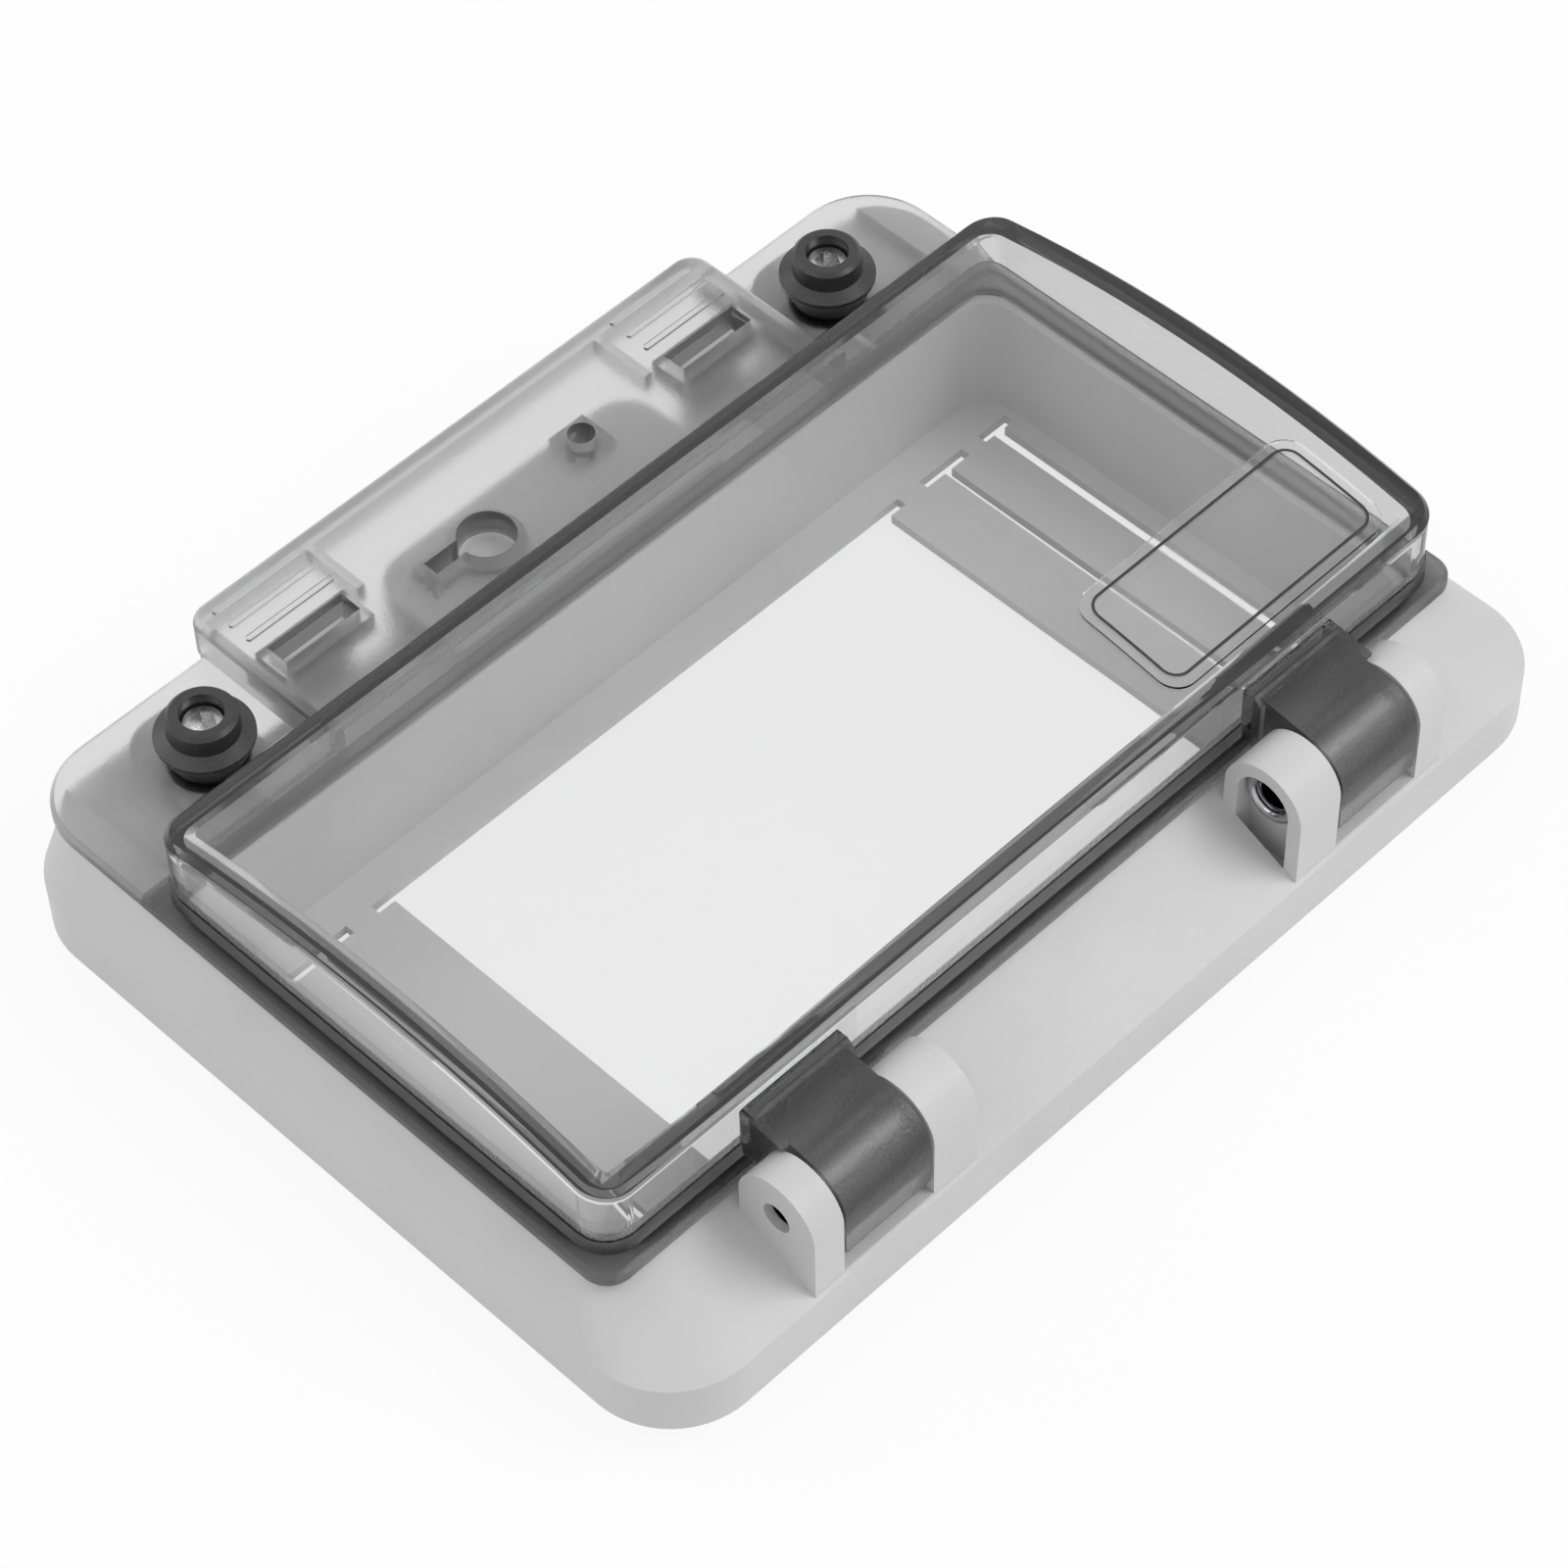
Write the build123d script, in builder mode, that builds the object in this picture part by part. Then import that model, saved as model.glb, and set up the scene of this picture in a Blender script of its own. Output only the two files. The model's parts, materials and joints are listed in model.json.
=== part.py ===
from build123d import *
import os

# Millimetres. The origin is the middle of the rear mounting face and +Z leaves the panel.

# outline of the grey frame
frame_length = 130.0
frame_width = 95.8
frame_corner = 10.0
wall = 2.2
wall_height = 6.4
rim_height = 12.0
rim_end_inset = 4.2
rim_hinge_inset = 12.0
rim_latch_inset = 0.7
rim_corner = 7.5
deck_height = 10.0
deck_inset = 16.9
deck_end_inset = 8.0
deck_thickness = 2.0

# well that goes through the panel, and the floor with its breaker window
well_end_inset = 6.0
well_hinge_inset = 13.9
well_latch_inset = 18.9
well_wall = 2.0
well_corner = 6.0
floor_bottom = -4.4
floor_thickness = 1.2
window_offset = 1.7
window_length = 73.2
window_height = 47.0
strip_length = 9.0
inner_slit = 1.05
outer_slit = 1.68
web_slot = 1.23
inner_slot_length = 6.7
outer_slot_length = 4.4

# smoke window cover
cover_gap = 0.3
plate_thickness = 1.5
plate_end_overlap = 0.5
plate_hinge_overlap = 0.3
plate_latch_overlap = 1.8
plate_hinge_corner = 3.0
plate_latch_corner = 8.5
plate_edge = 0.5
dome_end_margin = 0.6
dome_hinge_margin = 0.5
dome_corner = 3.7
dome_wall = 1.9
dome_edge = 0.6
dome_inner_corner = 2.2
dome_inner_edge = 1.2
crown_height = 26.4
crown_offset = -0.25
crown_radius = 151.5
band_height = 2.0
band_step = 0.25

# raised handle on the latch side
flap_x = 36.5
flap_overhang = 3.4
flap_top = 18.0
flap_wall = 1.7
flap_corner = 2.6
flap_edge = 0.8
flap_lift = 1.3
grip_x = 28.2
grip_length = 11.8
grip_width = 0.7
grip_height = 0.35
grip_inset = 3.9
grip_pitch = 2.6
frame_rib_x = 20.6
frame_rib = 1.0
frame_rib_depth = 2.4
slot_length = 10.0
slot_inner_inset = 8.9
slot_outer_inset = 6.1
collar = 1.0
collar_bottom = 13.6
lock_x = -7.3
lock_inset = 10.9
lock_radius = 3.15
lock_slot_end = -14.5
lock_slot_width = 1.9
lock_slot_rise = 0.7
seal_x = 9.3
seal_inset = 7.7
seal_radius = 1.45
seal_clearance = 0.2

# block under the keyhole and the finger bays on each side of it
block_x = 18.8
block_inset = 4.6
block_top = 14.5
block_corner = 4.5
bay_x = 39.6
bay_inset = 9.4

# hinge
pin_inset = 5.4
pin_z = 14.8
ear_radius = 5.0
ear_foot = 5.0
ear_outer = 45.3
ear_gap_outer = 41.4
ear_gap_inner = 29.2
ear_inner = 23.2
ear_end_wall = 1.0
knuckle_gap = 0.4
knuckle_inset = 0.1
knuckle_skirt = 1.8
skirt_bottom = 9.4
pad_side = 0.3
pad_depth = 2.4
pad_top = 20.9
pin_radius = 2.1
pin_bore = 1.7
pin_fit = 0.05
pin_press = 0.02
flare_radius = 2.7
flare_depth = 0.7
recess_x = 25.6
recess_radius = 3.3
pocket_radius = 7.7

# captive cover screws
screw_x = 44.6
screw_inset = 9.25
screw_boss = 11.4
boss_corner = 4.5
bush_foot = 3.9
bush_radius = 5.25
bush_rim = 0.45
bush_rim_top = 17.25
bush_flare = 0.65
bush_top = 20.3
bush_head = 3.75
bush_hole = 2.35
bush_bottom = 10.6
bush_floor = 1.0
neck_radius = 2.9
neck_clearance = 0.3
ring_radius = 3.9
ring_height = 0.8
boss_bore = 4.3
thread_radius = 1.5
thread_tip = 9.3
shank_radius = 1.2
shank_clearance = 0.15
head_radius = 2.1
head_bottom = 16.0
head_height = 2.8
key_radius = 1.45
key_depth = 1.8
seal_height = 1.1
seal_fit = 0.05
insert_radius = 2.75
insert_bore = 1.6
insert_top = 9.0
insert_length = 5.0

# fixing holes on the rear face
fixing_end_inset = 9.0
fixing_side_inset = 7.9
fixing_wall = 1.6
fixing_radius = 3.0
fixing_bore = 1.65
fixing_depth = 5.8
fixing_cap = 1.2

# latch springs
hook_width = 8.0
hook_inset = 8.0
hook_thickness = 1.0
hook_nose = 0.5
hook_nose_height = 0.3
hook_top = 16.0
hook_foot_gap = 0.3
hook_foot_low = 2.6
hook_foot_high = 5.4
shelf_top = 14.6
shelf_height = 1.0
shelf_depth = 0.25

# seals and label
gasket_height = 1.7
gasket_outer = 0.9
gasket_inner = -0.7
rear_gasket_width = 3.0
rear_gasket_height = 1.6
rear_gasket_gap = 0.1
label_x = 38.0
label_inset = 9.9
label_length = 32.6
label_width = 14.6
label_corner = 2.6
label_thickness = 0.3
label_gap = 0.06

# sizes that follow from those above
reach = 2 * frame_length
latch_edge = frame_width / 2
deck_hinge_y = latch_edge - deck_inset
grip_first_y = latch_edge - grip_inset
slot_inner_y = latch_edge - slot_inner_inset
slot_outer_y = latch_edge - slot_outer_inset
lock_y = latch_edge - lock_inset
seal_y = latch_edge - seal_inset
block_y = latch_edge - block_inset
bay_y = latch_edge - bay_inset
screw_y = latch_edge - screw_inset
hook_inner_y = latch_edge - hook_inset
pin_y = pin_inset - frame_width / 2
fixing_x = frame_length / 2 - fixing_end_inset
fixing_y = frame_width / 2 - fixing_side_inset
rim_x = frame_length / 2 - rim_end_inset
rim_hinge_y = rim_hinge_inset - frame_width / 2
rim_latch_y = frame_width / 2 - rim_latch_inset
hollow_start = wall_height - wall / 2
hollow_top = deck_height - deck_thickness
well_x = frame_length / 2 - well_end_inset
well_hinge_y = well_hinge_inset - frame_width / 2
well_latch_y = frame_width / 2 - well_latch_inset
well_mid_y = (well_hinge_y + well_latch_y) / 2
window_y = well_mid_y + window_offset
floor_top = floor_bottom + floor_thickness
flange_reach = rear_gasket_gap + rear_gasket_width + rear_gasket_gap
plate_bottom = rim_height + cover_gap
plate_top = plate_bottom + plate_thickness
plate_x = rim_x + plate_end_overlap
plate_hinge_y = rim_hinge_y - plate_hinge_overlap
plate_latch_y = rim_latch_y + plate_latch_overlap
dome_x = well_x + dome_end_margin
dome_hinge_y = well_hinge_y - dome_hinge_margin
dome_latch_y = well_latch_y
crown_y = (dome_hinge_y + dome_latch_y) / 2 + crown_offset
label_y = dome_hinge_y + label_inset
flap_y = frame_width / 2 + flap_overhang
slot_y = (slot_inner_y + slot_outer_y) / 2
slot_width = slot_outer_y - slot_inner_y
ear_x = (ear_inner + ear_outer) / 2
ear_length = ear_outer - ear_inner
knuckle_radius = ear_radius - knuckle_inset
knuckle_start = ear_gap_inner + knuckle_gap
knuckle_length = ear_gap_outer - ear_gap_inner - 2 * knuckle_gap
head_top = head_bottom + head_height
above = (Align.CENTER, Align.MIN)


def pair(x, y):
    return (x, y), (-x, y)


def corners(x, y):
    return (x, y), (-x, y), (x, -y), (-x, -y)


def between(y_low, y_high, z):
    return Plane((0, (y_low + y_high) / 2, z))


def well_outline(grow, mode=Mode.ADD):
    RectangleRounded(
        2 * (well_x + grow),
        well_latch_y - well_hinge_y + 2 * grow,
        well_corner + grow,
        mode=mode,
    )


# how far the inside of the sloping shoulder stands in from the outline, at the hollow's top
def shoulder_inset(rim_inset):
    rise = rim_height - wall_height
    slant_wall = wall * (rim_inset**2 + rise**2) ** 0.5 / rise
    return rim_inset * (hollow_top - wall_height) / rise + slant_wall


# cylinder along X whose top is the crown of the cover, or lies a little outside or inside it
def crown(radius):
    with BuildPart() as cylinder:
        with Locations(Plane((0, crown_y, crown_height - crown_radius), z_dir=(1, 0, 0))):
            Cylinder(radius, reach)
    return cylinder.part


with BuildPart() as hinge_ears:
    with BuildSketch(Plane.YZ.offset(ear_inner)):
        with Locations((pin_y, pin_z)):
            Circle(ear_radius)
        with Locations((pin_y, ear_foot)):
            Rectangle(2 * ear_radius, pin_z - ear_foot, align=above)
    extrude(amount=ear_length)
    mirror(about=Plane.YZ)

# space between each pair of ears, wide enough for the knuckle to swing
with BuildPart() as knuckle_space:
    with BuildSketch(Plane.YZ.offset(ear_gap_inner)):
        with Locations((pin_y, pin_z)):
            Circle(pocket_radius)
            Rectangle(ear_radius + 0.2, crown_height, align=(Align.MIN, Align.MIN))
        with Locations((pin_y, pin_z - pocket_radius)):
            Rectangle(frame_width / 2, crown_height, align=(Align.MAX, Align.MIN))
    extrude(amount=ear_gap_outer - ear_gap_inner)
    mirror(about=Plane.YZ)

# recess for the flared pin end, open downwards, and the bore of the pin
with BuildPart() as pin_bores:
    with BuildSketch(Plane.YZ.offset(ear_inner)):
        with Locations((pin_y, pin_z)):
            Circle(recess_radius)
            Rectangle(2 * recess_radius, 2 * ear_radius, align=(Align.CENTER, Align.MAX))
    extrude(amount=recess_x - ear_inner)
    with BuildSketch(Plane.YZ.offset(ear_inner)):
        with Locations((pin_y, pin_z)):
            Circle(pin_radius + pin_press)
    extrude(amount=ear_length - ear_end_wall)
    with BuildSketch(Plane.YZ.offset(ear_inner)):
        with Locations((pin_y, pin_z)):
            Circle(pin_bore)
    extrude(amount=ear_length + 1)
    mirror(about=Plane.YZ)

with BuildPart() as base_frame:
    with BuildSketch(Plane.XY):
        RectangleRounded(frame_length, frame_width, frame_corner)
    extrude(amount=wall_height)
    with BuildSketch(Plane.XY.offset(wall_height)):
        RectangleRounded(frame_length, frame_width, frame_corner)
    with BuildSketch(between(rim_hinge_y, rim_latch_y, rim_height)):
        RectangleRounded(2 * rim_x, rim_latch_y - rim_hinge_y, rim_corner)
    loft()
    # hollow seen from the rear
    with BuildSketch(Plane.XY):
        RectangleRounded(frame_length - 2 * wall, frame_width - 2 * wall, frame_corner - wall)
    extrude(amount=hollow_start, mode=Mode.SUBTRACT)
    with BuildSketch(Plane.XY.offset(hollow_start)):
        RectangleRounded(frame_length - 2 * wall, frame_width - 2 * wall, frame_corner - wall)
    hinge_inset = shoulder_inset(rim_hinge_inset)
    latch_inset = shoulder_inset(rim_latch_inset)
    with BuildSketch(Plane((0, (hinge_inset - latch_inset) / 2, hollow_top))):
        RectangleRounded(
            frame_length - 2 * shoulder_inset(rim_end_inset),
            frame_width - hinge_inset - latch_inset,
            rim_corner - wall / 2,
        )
    loft(mode=Mode.SUBTRACT)
    # lower deck on the latch side, between the two ends of the rim
    with BuildSketch(Plane.XY.offset(deck_height)):
        with Locations((0, deck_hinge_y)):
            Rectangle(frame_length - 2 * deck_end_inset, frame_width, align=above)
    extrude(amount=rim_height, mode=Mode.SUBTRACT)
    # bosses of the cover screws and of the fixings
    with BuildSketch(Plane.XY):
        with Locations(*pair(screw_x, deck_hinge_y - 1)):
            Rectangle(screw_boss, rim_latch_y - deck_hinge_y + 1, align=above)
        fillet(vertices().group_by(Axis.Y)[-1], radius=boss_corner)
    extrude(amount=rim_height)
    with BuildSketch(Plane.XY):
        with Locations(*corners(fixing_x, fixing_y)):
            Circle(fixing_radius + fixing_wall)
    extrude(amount=fixing_depth + fixing_cap)
    with BuildSketch(Plane.XY):
        with Locations(*pair(fixing_x, fixing_y)):
            Circle(fixing_radius + fixing_wall)
    extrude(amount=hollow_top + 1)
    # hinge blocks, walls of the finger bays and the block under the keyhole
    with BuildSketch(Plane.XY):
        with Locations(*pair(ear_x, pin_y - ear_radius + 0.6)):
            Rectangle(ear_length, well_hinge_y - pin_y + ear_radius, align=above)
    extrude(amount=hollow_top + 0.4)
    with BuildSketch(Plane.XY):
        with Locations((0, well_latch_y - 1)):
            Rectangle(2 * (bay_x + well_wall), bay_y + well_wall - well_latch_y + 1, align=above)
            Rectangle(2 * (block_x + wall), block_y - well_latch_y + 1, align=above)
    extrude(amount=deck_height)
    with BuildSketch(Plane.XY):
        with Locations((0, deck_hinge_y)):
            Rectangle(2 * block_x, block_y - deck_hinge_y, align=above)
    extrude(amount=block_top)
    # finger bays, which leave a rounded lobe of the block between them
    with BuildSketch(Plane.XY.offset(-1)):
        with Locations((0, bay_y)):
            Rectangle(2 * bay_x, frame_width / 2, align=above)
            Rectangle(2 * block_x, block_y - bay_y, align=above, mode=Mode.SUBTRACT)
        fillet(vertices().filter_by_position(Axis.Y, block_y - 0.01, block_y + 0.01), radius=block_corner)
    extrude(amount=block_top + 2, mode=Mode.SUBTRACT)
    with BuildSketch(Plane.XY):
        with Locations((0, well_latch_y + wall)):
            Rectangle(2 * (block_x - wall), block_y - well_latch_y - 2 * wall, align=above)
    extrude(amount=block_top - wall, mode=Mode.SUBTRACT)
    with BuildSketch(Plane.XY.offset(block_top)):
        with Locations((seal_x, seal_y)):
            Circle(seal_radius + seal_clearance)
    extrude(amount=-wall - 1, mode=Mode.SUBTRACT)
    # well and the flange that presses on the rear seal
    with BuildSketch(Plane((0, well_mid_y, floor_bottom))):
        well_outline(0)
    extrude(amount=rim_height - floor_bottom)
    with BuildSketch(Plane((0, well_mid_y, 0))):
        well_outline(flange_reach)
        well_outline(-well_wall / 2, Mode.SUBTRACT)
    extrude(amount=2 * rear_gasket_height)
    # hinge ears
    add(hinge_ears.part)
    add(knuckle_space.part, mode=Mode.SUBTRACT)
    add(pin_bores.part, mode=Mode.SUBTRACT)
    # inside of the well
    with BuildSketch(Plane((0, well_mid_y, floor_top))):
        well_outline(-well_wall)
    extrude(amount=reach, mode=Mode.SUBTRACT)
    # breaker window and the slits that free the two break-out strips at each end
    slot_y_offset = (window_height - web_slot) / 2
    slit_x = window_length / 2 + strip_length
    edge_x = slit_x + strip_length - outer_slit / 2
    with BuildSketch(Plane((0, window_y, floor_bottom - 1))):
        Rectangle(window_length, window_height)
        with Locations(*pair(slit_x, 0)):
            Rectangle(inner_slit, window_height)
        with Locations(*pair(edge_x, 0)):
            Rectangle(outer_slit, window_height)
        with Locations(*corners(slit_x, slot_y_offset)):
            Rectangle(inner_slot_length, web_slot)
        with Locations(*corners(edge_x, slot_y_offset)):
            Rectangle(outer_slot_length, web_slot)
        with Locations(*corners(window_length / 2, slot_y_offset)):
            Rectangle(outer_slot_length, web_slot)
    extrude(amount=floor_thickness + 2, mode=Mode.SUBTRACT)
    # groove for the cover seal
    with BuildSketch(Plane((0, well_mid_y, plate_bottom - gasket_height))):
        well_outline(gasket_outer)
        well_outline(gasket_inner, Mode.SUBTRACT)
    extrude(amount=gasket_height + 1, mode=Mode.SUBTRACT)
    # bores over and around the screw inserts
    with BuildSketch(Plane.XY.offset(insert_top)):
        with Locations(*pair(screw_x, screw_y)):
            Circle(boss_bore)
    extrude(amount=rim_height, mode=Mode.SUBTRACT)
    with BuildSketch(Plane.XY.offset(insert_top)):
        with Locations(*pair(screw_x, screw_y)):
            RegularPolygon(insert_radius, 6)
    extrude(amount=-insert_length, mode=Mode.SUBTRACT)
    with BuildSketch(Plane.XY):
        with Locations(*corners(fixing_x, fixing_y)):
            RegularPolygon(fixing_radius, 6)
    extrude(amount=fixing_depth, mode=Mode.SUBTRACT)
    # seat of the rear seal
    with BuildSketch(Plane((0, well_mid_y, 0))):
        well_outline(flange_reach)
        well_outline(0, Mode.SUBTRACT)
    extrude(amount=rear_gasket_height, mode=Mode.SUBTRACT)

with BuildPart() as dome_shell:
    with BuildSketch(between(dome_hinge_y, dome_latch_y, plate_bottom)):
        RectangleRounded(2 * dome_x, dome_latch_y - dome_hinge_y, dome_corner)
    extrude(amount=crown_height)
    add(crown(crown_radius), mode=Mode.INTERSECT)
    chamfer(dome_shell.faces().sort_by(Axis.Z)[-1].edges(), length=dome_edge)

with BuildPart() as dome_cavity:
    with BuildSketch(between(dome_hinge_y, dome_latch_y, plate_bottom - 1)):
        RectangleRounded(
            2 * (dome_x - dome_wall),
            dome_latch_y - dome_hinge_y - 2 * dome_wall,
            dome_inner_corner,
        )
    extrude(amount=crown_height)
    add(crown(crown_radius - dome_wall), mode=Mode.INTERSECT)
    chamfer(dome_cavity.faces().sort_by(Axis.Z)[-1].edges(), length=dome_inner_edge)

# knuckle with its rain skirt, and the pad that joins it to the wall of the dome
with BuildPart() as knuckles:
    with BuildSketch(Plane.YZ.offset(knuckle_start)):
        with Locations((pin_y, pin_z)):
            Circle(knuckle_radius)
        with BuildLine():
            Polyline(
                (dome_hinge_y + 1, plate_top - 0.3),
                (pin_y, plate_top - 0.3),
                (pin_y, pin_z + knuckle_radius),
                (dome_hinge_y, pad_top - 0.1),
                (dome_hinge_y + 1, pad_top - 0.1),
                close=True,
            )
        make_face()
        with Locations((pin_y - knuckle_radius, skirt_bottom)):
            Rectangle(knuckle_skirt, pin_z - skirt_bottom, align=(Align.MIN, Align.MIN))
    extrude(amount=knuckle_length)
    with BuildSketch(Plane.YZ.offset(knuckle_start - knuckle_gap - pad_side)):
        with BuildLine():
            Polyline(
                (dome_hinge_y + 1, plate_top - 0.5),
                (dome_hinge_y - pad_depth, plate_top - 0.5),
                (dome_hinge_y - pad_depth, pad_top - 1),
                (dome_hinge_y - pad_depth + 1, pad_top),
                (dome_hinge_y + 1, pad_top),
                close=True,
            )
        make_face()
    extrude(amount=knuckle_length + 2 * (knuckle_gap + pad_side))
    mirror(about=Plane.YZ)

with BuildPart() as window_cover:
    with BuildSketch(between(plate_hinge_y, plate_latch_y, plate_bottom)):
        Rectangle(2 * plate_x, plate_latch_y - plate_hinge_y)
        fillet(vertices().group_by(Axis.Y)[0], radius=plate_hinge_corner)
        fillet(vertices().group_by(Axis.Y)[-1], radius=plate_latch_corner)
    extrude(amount=plate_thickness)
    chamfer(window_cover.faces().sort_by(Axis.Z)[-1].edges(), length=plate_edge)
    # steep band at the foot of the dome
    with BuildSketch(between(dome_hinge_y, dome_latch_y, plate_bottom)):
        RectangleRounded(
            2 * (dome_x + band_step),
            dome_latch_y - dome_hinge_y + 2 * band_step,
            dome_corner + band_step,
        )
    extrude(amount=plate_thickness + band_height)
    add(dome_shell.part)
    # handle, a box with its outer skirt lifted off the plate
    with BuildSketch(Plane.XY.offset(plate_bottom)):
        with Locations((0, dome_latch_y - 1)):
            Rectangle(2 * flap_x, flap_y - dome_latch_y + 1, align=above)
        fillet(vertices().group_by(Axis.Y)[-1], radius=flap_corner)
    extrude(amount=flap_top - plate_bottom)
    handle_edges = window_cover.edges().filter_by_position(Axis.Z, flap_top - 0.01, flap_top + 0.01)
    fillet(handle_edges.filter_by_position(Axis.Y, dome_latch_y + 1, flap_y), radius=flap_edge)
    with BuildSketch(Plane.XY.offset(plate_bottom)):
        with Locations((0, dome_latch_y + flap_wall)):
            Rectangle(2 * (flap_x - flap_wall), flap_y - dome_latch_y - 2 * flap_wall, align=above)
    extrude(amount=flap_top - flap_wall - plate_bottom, mode=Mode.SUBTRACT)
    with BuildSketch(Plane.XY.offset(plate_bottom)):
        with Locations((0, plate_latch_y + 0.2)):
            Rectangle(2 * flap_x + 1, flap_y, align=above)
    extrude(amount=flap_lift, mode=Mode.SUBTRACT)
    # rib on the inner side of each grip
    with BuildSketch(Plane.XY.offset(flap_top - flap_wall - frame_rib_depth)):
        with Locations(*pair(frame_rib_x, slot_outer_y)):
            Rectangle(frame_rib, flap_y - flap_wall - slot_outer_y + 0.2, align=above)
    extrude(amount=frame_rib_depth + 0.2)
    add(knuckles.part)
    with Locations(Plane((0, pin_y, pin_z), z_dir=(1, 0, 0))):
        Cylinder(pin_radius + pin_fit, reach, mode=Mode.SUBTRACT)
    # finger grips
    with BuildSketch(Plane.XY.offset(flap_top - 0.2)):
        for row in range(3):
            with Locations(*pair(grip_x, grip_first_y + row * grip_pitch)):
                SlotOverall(grip_length, grip_width)
    extrude(amount=grip_height + 0.2)
    # collars under the openings of the handle
    with BuildSketch(Plane.XY.offset(collar_bottom)):
        with Locations(*pair(grip_x, slot_y)):
            Rectangle(slot_length + 2 * collar, slot_width + 2 * collar)
    extrude(amount=flap_top - flap_wall / 2 - collar_bottom)
    with BuildSketch(Plane.XY.offset(block_top + cover_gap)):
        with Locations((lock_x, lock_y)):
            Circle(lock_radius + collar)
        with Locations(((lock_x + lock_slot_end) / 2, lock_y + lock_slot_rise)):
            Rectangle(lock_x - lock_slot_end + 2 * collar, lock_slot_width + 2 * collar)
        with Locations((seal_x, seal_y)):
            Rectangle(2 * (seal_radius + collar), 2 * (seal_radius + collar))
    extrude(amount=flap_top - flap_wall / 2 - block_top - cover_gap)
    with BuildSketch(Plane.XY.offset(flap_top)):
        with Locations(*pair(grip_x, slot_y)):
            Rectangle(slot_length, slot_width)
        with Locations((lock_x, lock_y)):
            Circle(lock_radius)
        with Locations(((lock_x + lock_slot_end) / 2, lock_y + lock_slot_rise)):
            Rectangle(lock_x - lock_slot_end, lock_slot_width)
        with Locations((seal_x, seal_y)):
            Circle(seal_radius)
    extrude(amount=collar_bottom - flap_top - 1, mode=Mode.SUBTRACT)
    # catch shelf inside each latch slot
    with BuildSketch(Plane.XY.offset(shelf_top - shelf_height)):
        with Locations(*pair(grip_x, slot_outer_y - shelf_depth / 2)):
            Rectangle(slot_length + collar / 2, shelf_depth)
    extrude(amount=shelf_height)
    # holes for the screw bushes
    with BuildSketch(Plane.XY.offset(plate_bottom)):
        with Locations(*pair(screw_x, screw_y)):
            Circle(neck_radius + neck_clearance)
    extrude(amount=plate_thickness, mode=Mode.SUBTRACT)
    add(dome_cavity.part, mode=Mode.SUBTRACT)

with BuildPart() as hinge_pin:
    with BuildSketch(Plane.XZ):
        with BuildLine():
            Polyline(
                (recess_x - flare_depth, pin_bore),
                (recess_x - flare_depth, flare_radius),
                (recess_x, flare_radius),
                (recess_x, pin_radius),
                (ear_outer - ear_end_wall - 0.1, pin_radius),
                (ear_outer - ear_end_wall - 0.1, pin_bore),
                close=True,
            )
        make_face()
    revolve(axis=Axis.X)


def ring_between(z_low, height, outer, inner):
    with BuildPart() as ring:
        with BuildSketch(Plane((0, well_mid_y, z_low))):
            well_outline(outer)
            well_outline(inner, Mode.SUBTRACT)
        extrude(amount=height)
    return ring.part


cover_gasket = ring_between(plate_bottom - gasket_height, gasket_height, gasket_outer, gasket_inner)
rear_gasket = ring_between(0, rear_gasket_height, rear_gasket_gap + rear_gasket_width, rear_gasket_gap)


def turned(*points):
    with BuildPart() as body:
        with BuildSketch(Plane.XZ):
            with BuildLine():
                Polyline(*points, close=True)
            make_face()
        revolve(axis=Axis.Z)
    return body.part


def tube(inner, outer, z_low, z_high):
    return turned((inner, z_low), (outer, z_low), (outer, z_high), (inner, z_high))


def nut(bore, radius, z_low, z_high):
    with BuildPart() as body:
        with BuildSketch(Plane.XY.offset(z_low)):
            RegularPolygon(radius, 6)
            Circle(bore, mode=Mode.SUBTRACT)
        extrude(amount=z_high - z_low)
    return body.part


bush_shape = turned(
    (shank_radius + shank_clearance, bush_bottom),
    (neck_radius, bush_bottom),
    (neck_radius, plate_top),
    (bush_foot, plate_top),
    (bush_radius, bush_rim_top - bush_rim),
    (bush_radius, bush_rim_top),
    (bush_head + 0.1, bush_rim_top + bush_flare),
    (bush_head, bush_top - 0.4),
    (bush_head - 0.4, bush_top),
    (bush_hole, bush_top),
    (bush_hole, bush_bottom + bush_floor),
    (shank_radius + shank_clearance, bush_bottom + bush_floor),
)
ring_shape = tube(neck_radius, ring_radius, plate_bottom - ring_height, plate_bottom)
seal_shape = tube(shank_radius, bush_hole - seal_fit, head_bottom - seal_height, head_bottom)
insert_shape = nut(insert_bore, insert_radius, insert_top - insert_length, insert_top)
fixing_shape = nut(fixing_bore, fixing_radius, 0, fixing_depth)

# the shank is thinner than the thread, so that the bush holds the screw captive
with BuildPart() as screw_shape:
    with BuildSketch(Plane.XZ):
        with BuildLine():
            Polyline(
                (0, thread_tip),
                (thread_radius, thread_tip),
                (thread_radius, bush_bottom - 0.3),
                (shank_radius, bush_bottom - 0.3),
                (shank_radius, head_bottom),
                (head_radius, head_bottom),
                (head_radius, head_top),
                (0, head_top),
                close=True,
            )
        make_face()
    revolve(axis=Axis.Z)
    with BuildSketch(Plane.XY.offset(head_top)):
        RegularPolygon(key_radius, 6)
    extrude(amount=-key_depth, mode=Mode.SUBTRACT)

with BuildPart() as fixing_inserts:
    with Locations(*corners(fixing_x, fixing_y)):
        add(fixing_shape)

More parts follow.
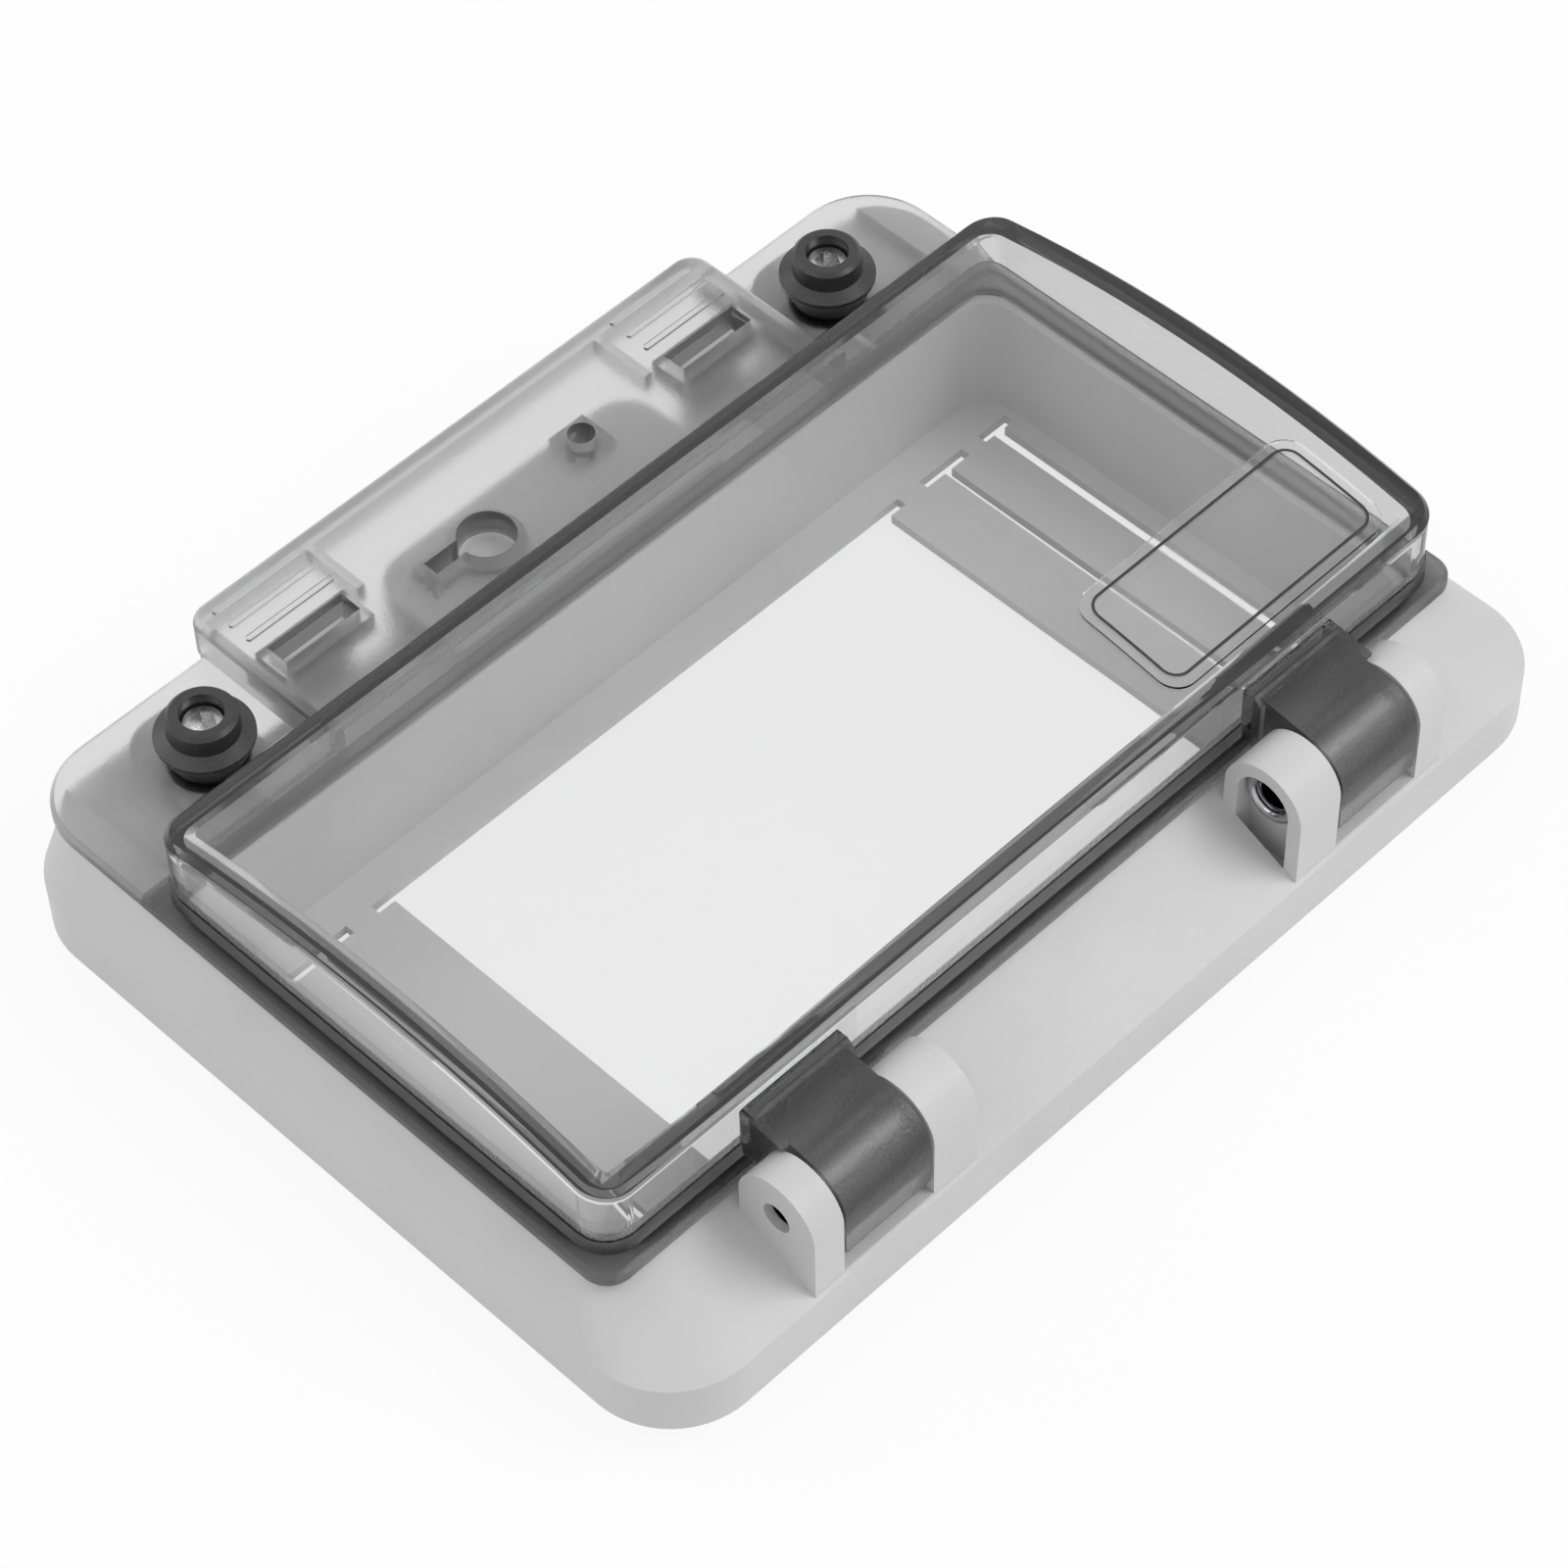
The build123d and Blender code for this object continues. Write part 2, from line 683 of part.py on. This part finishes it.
with BuildPart() as hook_shape:
    with BuildSketch(Plane.YZ.offset(-hook_width / 2)):
        hook_outer_y = hook_inner_y + hook_thickness
        nose_low = shelf_top + hook_nose_height
        with BuildLine():
            Polyline(
                (bay_y + hook_foot_gap, hook_foot_low),
                (hook_outer_y, hook_foot_low),
                (hook_outer_y, nose_low),
                (hook_outer_y + hook_nose, nose_low),
                (hook_outer_y + hook_nose, nose_low + hook_nose_height),
                (hook_outer_y, hook_top),
                (hook_inner_y, hook_top),
                (hook_inner_y, hook_foot_high),
                (bay_y + hook_foot_gap, hook_foot_high),
                close=True,
            )
        make_face()
    extrude(amount=hook_width)

# clear label film that follows the crown
with BuildPart() as label_film:
    with BuildSketch(Plane.XY.offset(plate_top)):
        with Locations((label_x, label_y)):
            RectangleRounded(label_length, label_width, label_corner)
    extrude(amount=crown_height)
    add(crown(crown_radius + label_gap + label_thickness), mode=Mode.INTERSECT)
    add(crown(crown_radius + label_gap), mode=Mode.SUBTRACT)

nodes = {
    "base_frame": base_frame.part,
    "window_cover": window_cover.part,
    "cover_gasket": cover_gasket,
    "rear_gasket": rear_gasket,
    "fixing_inserts": fixing_inserts.part,
    "label_film": label_film.part,
}
for side, sign in (("left", -1), ("right", 1)):
    at_screw = Pos(sign * screw_x, screw_y, 0)
    nodes["hinge_pin_" + side] = Pos(0, pin_y, pin_z) * hinge_pin.part.rotate(Axis.Z, 90 - 90 * sign)
    nodes["bush_" + side] = at_screw * bush_shape
    nodes["screw_" + side] = at_screw * screw_shape.part
    nodes["screw_seal_" + side] = at_screw * seal_shape
    nodes["bush_ring_" + side] = at_screw * ring_shape
    nodes["screw_insert_" + side] = at_screw * insert_shape
    nodes["latch_hook_" + side] = Pos(sign * grip_x, 0, 0) * hook_shape.part

os.makedirs("parts", exist_ok=True)
for name, shape in nodes.items():
    shape.label = name
    export_step(shape, "parts/" + name + ".step")
    print(name, len(shape.solids()), round(shape.volume, 2))
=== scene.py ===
import json
import math

import bmesh
import bpy
from mathutils import Matrix, Vector


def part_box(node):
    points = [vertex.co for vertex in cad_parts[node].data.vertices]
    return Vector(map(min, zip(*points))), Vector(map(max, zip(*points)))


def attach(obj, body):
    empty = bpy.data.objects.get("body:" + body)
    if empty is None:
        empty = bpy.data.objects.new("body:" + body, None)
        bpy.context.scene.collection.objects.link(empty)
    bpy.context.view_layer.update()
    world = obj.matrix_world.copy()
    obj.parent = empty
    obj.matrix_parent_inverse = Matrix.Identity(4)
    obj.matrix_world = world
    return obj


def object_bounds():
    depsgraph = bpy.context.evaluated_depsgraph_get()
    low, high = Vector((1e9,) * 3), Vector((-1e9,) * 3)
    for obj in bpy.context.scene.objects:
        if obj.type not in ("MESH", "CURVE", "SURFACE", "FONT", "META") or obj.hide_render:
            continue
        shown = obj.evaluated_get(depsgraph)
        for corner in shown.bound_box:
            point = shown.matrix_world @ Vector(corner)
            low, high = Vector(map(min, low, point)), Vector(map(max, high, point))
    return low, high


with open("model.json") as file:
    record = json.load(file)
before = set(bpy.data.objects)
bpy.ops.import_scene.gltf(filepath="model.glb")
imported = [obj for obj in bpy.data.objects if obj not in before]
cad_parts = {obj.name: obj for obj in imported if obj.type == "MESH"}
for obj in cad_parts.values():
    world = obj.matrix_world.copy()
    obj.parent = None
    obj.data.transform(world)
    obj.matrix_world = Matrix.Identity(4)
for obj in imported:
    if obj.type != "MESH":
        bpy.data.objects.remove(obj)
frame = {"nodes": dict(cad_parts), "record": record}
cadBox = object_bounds()
nodes = frame["nodes"]
scene = bpy.context.scene
mm = 0.001
white = (1, 1, 1, 1)


# helpers for the node materials; a value is a number or the output of another node
def feed(tree, socket, value):
    if isinstance(value, bpy.types.NodeSocket):
        tree.links.new(value, socket)
    else:
        socket.default_value = value


def newMaterial(name):
    material = bpy.data.materials.new(name)
    material.use_nodes = True
    tree = material.node_tree
    tree.nodes.clear()
    out = tree.nodes.new("ShaderNodeOutputMaterial")
    shader = tree.nodes.new("ShaderNodeBsdfPrincipled")
    tree.links.new(shader.outputs["BSDF"], out.inputs["Surface"])
    return material, tree, shader


def objectPlace(tree):
    return tree.nodes.new("ShaderNodeTexCoord").outputs["Object"]


# the size is the pattern's grain in millimetres
def noiseAt(tree, size, detail, rough=0.5):
    noise = tree.nodes.new("ShaderNodeTexNoise")
    noise.inputs["Scale"].default_value = 1000.0 / size
    noise.inputs["Detail"].default_value = detail
    noise.inputs["Roughness"].default_value = rough
    tree.links.new(objectPlace(tree), noise.inputs["Vector"])
    return noise.outputs["Fac"]


noiseSpan = (0.3, 0.7)  # most of a noise pattern lies between these two


def rampOn(tree, source, low, high, start=noiseSpan[0], end=noiseSpan[1]):
    ramp = tree.nodes.new("ShaderNodeMapRange")
    ramp.inputs["From Min"].default_value = start
    ramp.inputs["From Max"].default_value = end
    ramp.inputs["To Min"].default_value = low
    ramp.inputs["To Max"].default_value = high
    tree.links.new(source, ramp.inputs["Value"])
    return ramp.outputs["Result"]


def colourOn(tree, source, dark, light):
    ramp = tree.nodes.new("ShaderNodeValToRGB")
    for stop, place, colour in zip(ramp.color_ramp.elements, noiseSpan, (dark, light)):
        stop.position = place
        stop.color = (*colour, 1)
    tree.links.new(source, ramp.inputs["Fac"])
    return ramp.outputs["Color"]


def bumpOn(tree, shader, source, depth, strength):
    bump = tree.nodes.new("ShaderNodeBump")
    feed(tree, bump.inputs["Strength"], strength)
    bump.inputs["Distance"].default_value = depth * mm
    tree.links.new(source, bump.inputs["Height"])
    tree.links.new(bump.outputs["Normal"], shader.inputs["Normal"])


def mathOn(tree, operation, first, second=0.0):
    step = tree.nodes.new("ShaderNodeMath")
    step.operation = operation
    feed(tree, step.inputs[0], first)
    feed(tree, step.inputs[1], second)
    return step.outputs[0]


def mixValues(tree, share, low, high):
    mix = tree.nodes.new("ShaderNodeMix")
    feed(tree, mix.inputs["Factor"], share)
    feed(tree, mix.inputs["A"], low)
    feed(tree, mix.inputs["B"], high)
    return mix.outputs["Result"]


def mixShaders(tree, share, first, second, out):
    mix = tree.nodes.new("ShaderNodeMixShader")
    tree.links.new(share, mix.inputs["Fac"])
    tree.links.new(first, mix.inputs[1])
    tree.links.new(second, mix.inputs[2])
    tree.links.new(mix.outputs["Shader"], out.inputs["Surface"])


# opaque finishes; grain and cloud are in millimetres, bump is its depth and strength
greyShell = {
    "name": "greyShellPlastic",
    "dark": (0.60, 0.60, 0.60),
    "light": (0.645, 0.645, 0.645),
    "grain": 0.35,
    "detail": 3.0,
    "cloud": 18.0,
    "cloudDetail": 2.0,
    "rough": (0.42, 0.58),
    "bump": (0.02, 0.35),
    "specular": 0.45,
}
darkNylon = {
    "name": "darkNylonBush",
    "dark": (0.0224, 0.0224, 0.0232),
    "light": (0.035, 0.035, 0.03625),
    "grain": 0.4,
    "detail": 3.0,
    "rough": (0.28, 0.42),
    "bump": (0.01, 0.3),
}
blackRubber = {
    "name": "blackSealRubber",
    "dark": (0.022, 0.022, 0.022),
    "light": (0.04, 0.04, 0.04),
    "grain": 0.5,
    "detail": 3.0,
    "rough": 0.75,
    "bump": (0.02, 0.4),
}
printInk = {
    "name": "labelPrintInk",
    "dark": (0.012, 0.012, 0.012),
    "light": (0.03, 0.03, 0.03),
    "grain": 0.6,
    "detail": 2.0,
    "rough": 0.4,
}
anyMetal = {"metal": 1.0, "detail": 4.0, "grainRough": 0.6, "bump": (0.006, 0.4)}
pinSteel = {
    **anyMetal,
    "name": "brightPinSteel",
    "dark": (0.391, 0.391, 0.3995),
    "light": (0.46, 0.46, 0.47),
    "grain": 0.6,
    "rough": (0.084, 0.156),
}
screwSteel = {
    **anyMetal,
    "name": "dullScrewSteel",
    "dark": (0.425, 0.425, 0.425),
    "light": (0.5, 0.5, 0.5),
    "grain": 0.4,
    "rough": (0.182, 0.338),
}
insertBrass = {
    **anyMetal,
    "name": "turnedBrass",
    "dark": (0.612, 0.4505, 0.2125),
    "light": (0.72, 0.53, 0.25),
    "grain": 0.4,
    "rough": (0.21, 0.39),
}


def opaqueFinish(look):
    material, tree, shader = newMaterial(look["name"])
    shader.inputs["Metallic"].default_value = look.get("metal", 0.0)
    shader.inputs["Specular IOR Level"].default_value = look.get("specular", 0.5)
    grain = noiseAt(tree, look["grain"], look["detail"], look.get("grainRough", 0.5))
    cloud = noiseAt(tree, look["cloud"], look["cloudDetail"]) if "cloud" in look else grain
    tree.links.new(colourOn(tree, cloud, look["dark"], look["light"]), shader.inputs["Base Color"])
    rough = look["rough"]
    if isinstance(rough, tuple):
        rough = rampOn(tree, grain, *rough)
    feed(tree, shader.inputs["Roughness"], rough)
    if "bump" in look:
        bumpOn(tree, shader, grain, *look["bump"])
    return material


# the cover is one moulding with four regions, and a row of four values is for the foot of the
# dome, the dome itself, the knuckles and the handle side, in this order; lengths in millimetres
smoke = {
    "colour": (0.36, 0.36, 0.37),
    "density": 135.0,
    "ior": 1.57,
    "rough": (0.5, 0.015, 0.42, 0.3),
    "tint": (0.31, 1.0, 0.49, 0.87),
    "shadow": (0.6, 0.78, 0.6, 0.52),
    "bump": (0.6, 0.0, 0.8, 0.2),
    "grain": 0.45,
    "detail": 2.0,
    "depth": 0.16,
    "footTop": 15.8,
    "hingeSide": -35.8,
    "handleSide": 29.8,
    "soft": 0.2,  # width of the step between two regions
    # painted shade: the dome's walls are a little darker and the band at their top much darker, in
    # place of the shade that refraction at these edges makes
    "wallPaintedShade": 0.9,
    "wallX": 57.7,
    "wallHinge": -32.6,
    "wallLatch": 27.1,
    "edgePaintedShade": 0.12,
    "edgeDepth": 1.3,
    "crownTop": 26.4,
    "crownMiddle": -3.0,
    "crownRadius": 151.5,
    # painted shade on the walls of the handle's holes
    "holePaintedShade": 0.1,
    "holeMargin": 0.06,
    "roundHoles": ((9.3, 40.2, 1.45), (-7.3, 37.0, 3.15)),  # x, y, radius
    "squareHoles": ((-10.9, 37.7, 7.2, 1.9), (28.2, 40.4, 10.0, 2.8), (-28.2, 40.4, 10.0, 2.8)),
}


# mask for the painted shade on the walls of the handle's holes: 1 inside the holes and a little
# past their walls, 0 elsewhere
def inHoles(tree, atX, atY):
    margin = smoke["holeMargin"]
    found = []
    for x, y, radius in smoke["roundHoles"]:
        alongX = mathOn(tree, "SUBTRACT", atX, x * mm)
        alongY = mathOn(tree, "SUBTRACT", atY, y * mm)
        squareX = mathOn(tree, "MULTIPLY", alongX, alongX)
        squareY = mathOn(tree, "MULTIPLY", alongY, alongY)
        square = mathOn(tree, "ADD", squareX, squareY)
        found.append(mathOn(tree, "LESS_THAN", square, ((radius + margin) * mm) ** 2))
    for x, y, length, width in smoke["squareHoles"]:
        alongX = mathOn(tree, "ABSOLUTE", mathOn(tree, "SUBTRACT", atX, x * mm))
        alongY = mathOn(tree, "ABSOLUTE", mathOn(tree, "SUBTRACT", atY, y * mm))
        insideX = mathOn(tree, "LESS_THAN", alongX, (length / 2 + margin) * mm)
        insideY = mathOn(tree, "LESS_THAN", alongY, (width / 2 + margin) * mm)
        found.append(mathOn(tree, "MULTIPLY", insideX, insideY))
    hole = found[0]
    for other in found[1:]:
        hole = mathOn(tree, "MAXIMUM", hole, other)
    return hole


def smokeClear():
    material, tree, shader = newMaterial("smokeClearPlastic")
    out = shader.outputs["BSDF"].links[0].to_node
    shader.inputs["Transmission Weight"].default_value = 1.0
    shader.inputs["IOR"].default_value = smoke["ior"]
    absorb = tree.nodes.new("ShaderNodeVolumeAbsorption")
    absorb.inputs["Color"].default_value = (*smoke["colour"], 1)
    absorb.inputs["Density"].default_value = smoke["density"]
    tree.links.new(absorb.outputs["Volume"], out.inputs["Volume"])
    split = tree.nodes.new("ShaderNodeSeparateXYZ")
    tree.links.new(objectPlace(tree), split.inputs["Vector"])
    atX, atY, atZ = split.outputs

    def beyond(source, edge, before=0.0, after=1.0):
        half = smoke["soft"] / 2
        return rampOn(tree, source, before, after, (edge - half) * mm, (edge + half) * mm)

    isHigh = beyond(atZ, smoke["footTop"])
    isHinge = beyond(atY, smoke["hingeSide"], 1.0, 0.0)
    isHandle = beyond(atY, smoke["handleSide"])

    def byRegion(foot, dome, hinge, handle):
        value = mixValues(tree, isHigh, foot, dome)
        value = mixValues(tree, isHinge, value, hinge)
        return mixValues(tree, isHandle, value, handle)

    # masks for the painted shade on the dome's walls and on the band at their top
    isWall = beyond(mathOn(tree, "ABSOLUTE", atX), smoke["wallX"])
    isWall = mathOn(tree, "MAXIMUM", isWall, beyond(atY, smoke["wallHinge"], 1.0, 0.0))
    isWall = mathOn(tree, "MAXIMUM", isWall, beyond(atY, smoke["wallLatch"]))
    # the crown falls away on both sides of its middle, so the height is measured from it
    offset = mathOn(tree, "SUBTRACT", atY, smoke["crownMiddle"] * mm)
    square = mathOn(tree, "MULTIPLY", offset, offset)
    drop = mathOn(tree, "DIVIDE", square, 2 * smoke["crownRadius"] * mm)
    isEdge = beyond(mathOn(tree, "ADD", atZ, drop), smoke["crownTop"] - smoke["edgeDepth"])

    # painted shade: the dome's walls are darkened a little, the band at their top much more, and
    # the walls of the handle's holes too, in place of the shade that refraction makes there
    foot, dome, hinge, handle = smoke["tint"]
    wall = mixValues(tree, isEdge, smoke["wallPaintedShade"], smoke["edgePaintedShade"])
    dome = mixValues(tree, isWall, dome, wall)
    handle = mixValues(tree, inHoles(tree, atX, atY), handle, smoke["holePaintedShade"])
    tree.links.new(byRegion(foot, dome, hinge, handle), shader.inputs["Base Color"])
    tree.links.new(byRegion(*smoke["rough"]), shader.inputs["Roughness"])
    grain = noiseAt(tree, smoke["grain"], smoke["detail"])
    bumpOn(tree, shader, grain, smoke["depth"], byRegion(*smoke["bump"]))

    # light from the lamps goes straight through, so that it reaches what the cover closes
    path = tree.nodes.new("ShaderNodeLightPath")
    clear = tree.nodes.new("ShaderNodeBsdfTransparent")
    tree.links.new(byRegion(*smoke["shadow"]), clear.inputs["Color"])
    share = path.outputs["Is Shadow Ray"]
    mixShaders(tree, share, shader.outputs["BSDF"], clear.outputs["BSDF"], out)
    return material


labelFilm = {
    "colour": (0.97, 0.97, 0.97),
    "ior": 1.5,
    "grain": 1.2,
    "detail": 2.0,
    "rough": (0.02, 0.06),
}


def clearFilm():
    material, tree, shader = newMaterial("clearLabelFilm")
    shader.inputs["Base Color"].default_value = (*labelFilm["colour"], 1)
    shader.inputs["Transmission Weight"].default_value = 1.0
    shader.inputs["IOR"].default_value = labelFilm["ior"]
    grain = noiseAt(tree, labelFilm["grain"], labelFilm["detail"])
    tree.links.new(rampOn(tree, grain, *labelFilm["rough"]), shader.inputs["Roughness"])
    return material


finishes = {
    "grey_plastic": opaqueFinish(greyShell),
    "smoke_clear": smokeClear(),
    "dark_plastic": opaqueFinish(darkNylon),
    "seal_rubber": opaqueFinish(blackRubber),
    "pin_steel": opaqueFinish(pinSteel),
    "screw_steel": opaqueFinish(screwSteel),
    "insert_brass": opaqueFinish(insertBrass),
    "clear_film": clearFilm(),
}
for part in frame["record"]["subparts"]:
    mesh = nodes[part["node"]].data
    mesh.materials.clear()
    mesh.materials.append(finishes[part["material_slot"]])
print("finishes are on", len(finishes))


def newPiece(name, shape, material):
    bmesh.ops.recalc_face_normals(shape, faces=shape.faces)
    mesh = bpy.data.meshes.new(name)
    shape.to_mesh(mesh)
    shape.free()
    mesh.materials.append(material)
    piece = bpy.data.objects.new(name, mesh)
    scene.collection.objects.link(piece)
    return piece


def extrudeBy(shape, faces, way):
    grown = bmesh.ops.extrude_face_region(shape, geom=faces)["geom"]
    moved = [part for part in grown if isinstance(part, bmesh.types.BMVert)]
    bmesh.ops.translate(shape, verts=moved, vec=way)


def mirrorOverX(shape):
    everything = shape.verts[:] + shape.edges[:] + shape.faces[:]
    bmesh.ops.mirror(shape, geom=everything, matrix=Matrix.Identity(4), merge_dist=0.0, axis="X")


# border line on the label film, in millimetres
labelBorder = {
    "margin": 1.05,
    "radius": 2.0,
    "line": 0.32,
    "lift": 0.01,
    "thick": 0.03,
    "steps": 8,
    "run": 12,
}


# a loop of edges round a rectangle, its straight sides cut so that they can follow a curve
def addRoundedLoop(shape, length, width, radius):
    corners = bmesh.ops.create_grid(shape, x_segments=1, y_segments=1, size=0.5)["verts"]
    bmesh.ops.scale(shape, verts=corners, vec=(length, width, 1))
    bmesh.ops.bevel(
        shape, geom=corners, offset=radius, segments=labelBorder["steps"],
        profile=0.5, affect="VERTICES", material=-1,
    )
    outline = [edge for face in shape.faces for edge in face.edges]
    sides = [edge for edge in outline if edge.calc_length() > radius]
    bmesh.ops.subdivide_edges(shape, edges=sides, cuts=labelBorder["run"] - 1)
    bmesh.ops.delete(shape, geom=shape.faces[:], context="FACES_ONLY")


def makeLabelBorder():
    film = nodes["label_film"]
    low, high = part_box("label_film")
    middle = (low + high) / 2
    shape = bmesh.new()
    for inward in (0.0, labelBorder["line"]):
        less = 2 * (labelBorder["margin"] + inward) * mm
        radius = (labelBorder["radius"] - inward) * mm
        addRoundedLoop(shape, high.x - low.x - less, high.y - low.y - less, radius)
    bmesh.ops.bridge_loops(shape, edges=shape.edges[:])
    # the line follows the curve of the film
    lift = Vector((0, 0, labelBorder["lift"] * mm))
    for vert in shape.verts:
        above = Vector((middle.x + vert.co.x, middle.y + vert.co.y, 1))
        vert.co = film.ray_cast(above, Vector((0, 0, -1)))[1] + lift
    extrudeBy(shape, shape.faces[:], (0, 0, labelBorder["thick"] * mm))
    border = newPiece("labelBorder", shape, opaqueFinish(printInk))
    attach(border, "cover")


makeLabelBorder()
print("label border is printed")


hingePin = {"y": -42.5, "z": 14.8}

# pads that stand out beside the knuckles, on the outer side of each hinge
knucklePad = {
    "side": 41.02,
    "width": 1.0,
    "domeY": -34.5,
    "reach": 5.6,
    "clearRadius": 5.4,
    "roof": (20.8, 20.05),
    "low": 14.3,
    "thin": 0.3,
    "steps": 10,
}


def makeKnucklePads():
    near, far = knucklePad["domeY"], knucklePad["domeY"] - knucklePad["reach"]
    topNear, topFar = knucklePad["roof"]
    roofLine, lowLine = [], []
    for step in range(knucklePad["steps"] + 1):
        share = step / knucklePad["steps"]
        y = near + (far - near) * share
        # the underside keeps clear of the round ear
        under = knucklePad["clearRadius"] ** 2 - (y - hingePin["y"]) ** 2
        low = hingePin["z"] + math.sqrt(under) if under > 0 else knucklePad["low"]
        roofLine.append((y, topNear + (topFar - topNear) * share))
        lowLine.append((y, min(max(low, knucklePad["low"]), topFar - knucklePad["thin"])))
    shape = bmesh.new()
    outline = [Vector((knucklePad["side"], y, z)) * mm for y, z in roofLine + lowLine[::-1]]
    side = shape.faces.new([shape.verts.new(place) for place in outline])
    extrudeBy(shape, [side], (knucklePad["width"] * mm, 0, 0))
    mirrorOverX(shape)
    pads = newPiece("knucklePads", shape, finishes["smoke_clear"])
    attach(pads, "cover")


makeKnucklePads()
print("knuckle pads are joined")


# rolled lip on the end of each hinge pin
pinLip = {"x": 24.6, "ring": 2.55, "thick": 0.6, "around": 40, "across": 14}


def makePinLips():
    middle = Vector((pinLip["x"], hingePin["y"], hingePin["z"])) * mm
    shape = bmesh.new()
    bmesh.ops.create_circle(shape, segments=pinLip["across"], radius=pinLip["thick"] * mm)
    bmesh.ops.translate(shape, verts=shape.verts, vec=middle + Vector((0, pinLip["ring"] * mm, 0)))
    bmesh.ops.spin(
        shape, geom=shape.verts[:] + shape.edges[:], cent=middle, axis=(1, 0, 0),
        angle=2 * math.pi, steps=pinLip["around"], use_merge=True,
    )
    mirrorOverX(shape)
    for face in shape.faces:
        face.smooth = True
    lips = newPiece("pinLips", shape, finishes["pin_steel"])
    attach(lips, "frame")


makePinLips()
print("pin lips are rolled")


# studio; lamps are place, size and power, in metres and watts
studio = {
    "floor": 0.9,
    "floorSize": 3.0,
    "floorGap": 0.0004,
    "glow": 0.9,
    "world": 0.55,
    "lamps": {
        "keyLamp": ((0.45, -0.6, 0.8), (0.6, 0.5), 4.8),
        "fillLamp": ((-0.6, 0.2, 0.75), (0.6, 0.6), 0.9),
        "backLamp": ((-0.3, 0.8, 0.6), (0.7, 0.4), 1.6),
    },
}


# how much of a surface is the plain white background: its share for rays that see it directly,
# in a mirror or through the cover, and none for the rays that light the object
def seenOnly(tree, share):
    path = tree.nodes.new("ShaderNodeLightPath")
    seen = path.outputs["Is Camera Ray"]
    for kind in ("Is Transmission Ray", "Is Glossy Ray"):
        seen = mathOn(tree, "MAXIMUM", seen, path.outputs[kind])
    return mathOn(tree, "MULTIPLY", seen, share)


def makeFloor():
    mesh = bpy.data.meshes.new("studioFloor")
    floor = bpy.data.objects.new("studioFloor", mesh)
    scene.collection.objects.link(floor)
    shape = bmesh.new()
    bmesh.ops.create_grid(shape, x_segments=1, y_segments=1, size=studio["floorSize"])
    bmesh.ops.translate(shape, verts=shape.verts, vec=(0, 0, cadBox[0].z - studio["floorGap"]))
    shape.to_mesh(mesh)
    shape.free()
    material = bpy.data.materials.new("paleFloor")
    material.use_nodes = True
    tree = material.node_tree
    tree.nodes.clear()
    out = tree.nodes.new("ShaderNodeOutputMaterial")
    matte = tree.nodes.new("ShaderNodeBsdfDiffuse")
    matte.inputs["Color"].default_value = (studio["floor"],) * 3 + (1,)
    glow = tree.nodes.new("ShaderNodeEmission")
    glow.inputs["Color"].default_value = white
    glow.inputs["Strength"].default_value = 1.0
    share = seenOnly(tree, studio["glow"])
    mixShaders(tree, share, matte.outputs["BSDF"], glow.outputs["Emission"], out)
    mesh.materials.append(material)


def makeWorld():
    world = bpy.data.worlds.new("studioWorld")
    scene.world = world
    world.use_nodes = True
    tree = world.node_tree
    tree.nodes.clear()
    out = tree.nodes.new("ShaderNodeOutputWorld")
    skies = []
    for strength in (studio["world"], 1.0):
        sky = tree.nodes.new("ShaderNodeBackground")
        sky.inputs["Color"].default_value = white
        sky.inputs["Strength"].default_value = strength
        skies.append(sky.outputs["Background"])
    mixShaders(tree, seenOnly(tree, 1.0), *skies, out)


def addLamp(name, place, size, power):
    data = bpy.data.lights.new(name, "AREA")
    data.shape = "RECTANGLE"
    data.size, data.size_y = size
    data.energy = power
    lamp = bpy.data.objects.new(name, data)
    scene.collection.objects.link(lamp)
    lamp.location = place
    lamp.rotation_euler = (-Vector(place)).to_track_quat("-Z", "Y").to_euler()


# place and directions that fit the photograph, in metres
photoView = {
    "sensor": 36.0,
    "lens": 116.45,
    "clip": (0.01, 20),
    "place": (-0.22904, -0.23421, 0.40770),
    "right": (0.7025, -0.7114, -0.0168),
    "forward": (0.4380, 0.4508, -0.7778),
}


def makeCamera():
    data = bpy.data.cameras.new("photoCamera")
    data.sensor_width = photoView["sensor"]
    data.lens = photoView["lens"]
    data.clip_start, data.clip_end = photoView["clip"]
    camera = bpy.data.objects.new("photoCamera", data)
    scene.collection.objects.link(camera)
    right = Vector(photoView["right"]).normalized()
    forward = Vector(photoView["forward"]).normalized()
    up = right.cross(forward).normalized()
    forward = up.cross(right).normalized()
    turn = Matrix((right, up, -forward)).transposed().to_4x4()
    camera.matrix_world = Matrix.Translation(photoView["place"]) @ turn
    scene.camera = camera


makeFloor()
makeWorld()
for lampName, lampValues in studio["lamps"].items():
    addLamp(lampName, *lampValues)
makeCamera()
scene.view_settings.view_transform = "Standard"
print("studio is ready")
